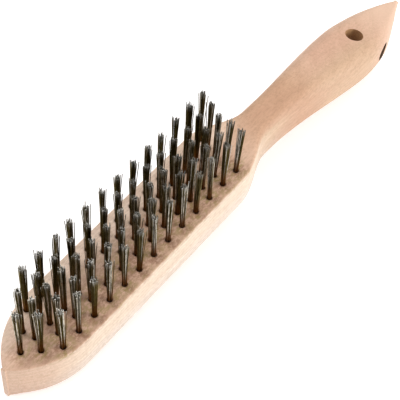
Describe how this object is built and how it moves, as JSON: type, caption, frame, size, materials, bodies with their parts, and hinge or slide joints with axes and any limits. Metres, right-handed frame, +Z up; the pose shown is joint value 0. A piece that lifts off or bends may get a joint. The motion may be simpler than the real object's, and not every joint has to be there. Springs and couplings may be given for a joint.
{
  "type": "wire brush",
  "caption": "Hand wire brush: one-piece beech block with a pointed nose and a leaf-shaped handle that bends away from the wires, steel wire tufts in straight rows, and hanging bores near the tail.",
  "frame": {"origin": "middle of the length and width, on the bench that the nose and the tail rest on with the wires up", "axes": "+X from the nose to the tail of the handle, +Z up from the bench, +Y to the left seen from the nose looking at the tail; the wires lean 4.7 degrees from +Z towards the nose"},
  "size_m": [0.2998, 0.034, 0.0652],
  "materials": {
    "beech": "sanded, unvarnished",
    "steel_wire": "drawn wire, cut ends"
  },
  "bodies": {
    "root": {"beech_body": "beech", "wire_tuft_left_outer_01": "steel_wire", "wire_tuft_left_outer_02": "steel_wire", "wire_tuft_left_outer_03": "steel_wire", "wire_tuft_left_outer_04": "steel_wire", "wire_tuft_left_outer_05": "steel_wire", "wire_tuft_left_outer_06": "steel_wire", "wire_tuft_left_outer_07": "steel_wire", "wire_tuft_left_outer_08": "steel_wire", "wire_tuft_left_outer_09": "steel_wire", "wire_tuft_left_outer_10": "steel_wire", "wire_tuft_left_outer_11": "steel_wire", "wire_tuft_left_outer_12": "steel_wire", "wire_tuft_left_outer_13": "steel_wire", "wire_tuft_left_inner_01": "steel_wire", "wire_tuft_left_inner_02": "steel_wire", "wire_tuft_left_inner_03": "steel_wire", "wire_tuft_left_inner_04": "steel_wire", "wire_tuft_left_inner_05": "steel_wire", "wire_tuft_left_inner_06": "steel_wire", "wire_tuft_left_inner_07": "steel_wire", "wire_tuft_left_inner_08": "steel_wire", "wire_tuft_left_inner_09": "steel_wire", "wire_tuft_left_inner_10": "steel_wire", "wire_tuft_left_inner_11": "steel_wire", "wire_tuft_left_inner_12": "steel_wire", "wire_tuft_left_inner_13": "steel_wire", "wire_tuft_left_inner_14": "steel_wire", "wire_tuft_right_outer_01": "steel_wire", "wire_tuft_right_outer_02": "steel_wire", "wire_tuft_right_outer_03": "steel_wire", "wire_tuft_right_outer_04": "steel_wire", "wire_tuft_right_outer_05": "steel_wire", "wire_tuft_right_outer_06": "steel_wire", "wire_tuft_right_outer_07": "steel_wire", "wire_tuft_right_outer_08": "steel_wire", "wire_tuft_right_outer_09": "steel_wire", "wire_tuft_right_outer_10": "steel_wire", "wire_tuft_right_outer_11": "steel_wire", "wire_tuft_right_outer_12": "steel_wire", "wire_tuft_right_outer_13": "steel_wire", "wire_tuft_right_inner_01": "steel_wire", "wire_tuft_right_inner_02": "steel_wire", "wire_tuft_right_inner_03": "steel_wire", "wire_tuft_right_inner_04": "steel_wire", "wire_tuft_right_inner_05": "steel_wire", "wire_tuft_right_inner_06": "steel_wire", "wire_tuft_right_inner_07": "steel_wire", "wire_tuft_right_inner_08": "steel_wire", "wire_tuft_right_inner_09": "steel_wire", "wire_tuft_right_inner_10": "steel_wire", "wire_tuft_right_inner_11": "steel_wire", "wire_tuft_right_inner_12": "steel_wire", "wire_tuft_right_inner_13": "steel_wire", "wire_tuft_right_inner_14": "steel_wire", "wire_tufts_middle_1": "steel_wire", "wire_tufts_middle_2": "steel_wire", "wire_tufts_middle_3": "steel_wire", "wire_tufts_middle_4": "steel_wire", "wire_tufts_middle_5": "steel_wire"}
  },
  "joints": []
}
